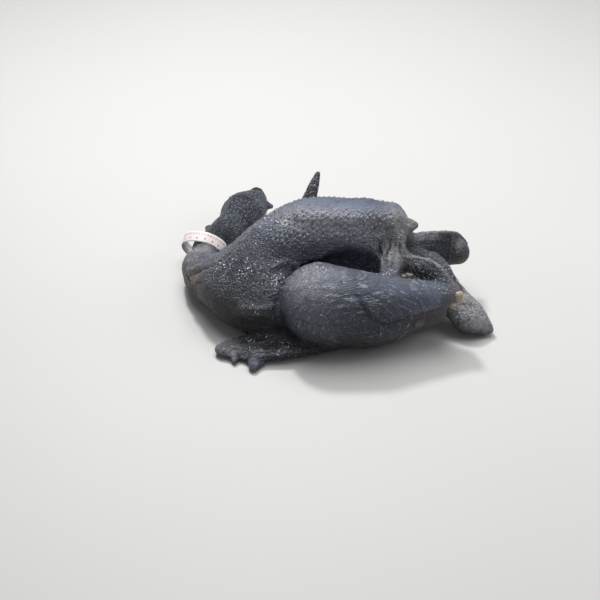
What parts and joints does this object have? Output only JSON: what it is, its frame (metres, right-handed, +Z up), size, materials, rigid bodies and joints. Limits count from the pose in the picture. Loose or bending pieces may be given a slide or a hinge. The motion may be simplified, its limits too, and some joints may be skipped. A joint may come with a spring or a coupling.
{
  "type": "whole raw black chicken",
  "caption": "Whole plucked black-skinned chicken lying on its back, head folded beside the body, with a paper band round the neck.",
  "frame": {"origin": "on the ground under the middle of the bird", "axes": "+X towards the tail, +Z up through the breast, -Y towards the near leg and wing"},
  "size_m": [0.2336, 0.1894, 0.0818],
  "materials": {
    "skin": "dark slate blue-grey skin with rows of feather follicles, wet and glossy in patches",
    "band": "white coated paper with small faint red marks"
  },
  "bodies": {
    "root": {"chicken": "skin", "neck_band": "band"}
  },
  "joints": []
}
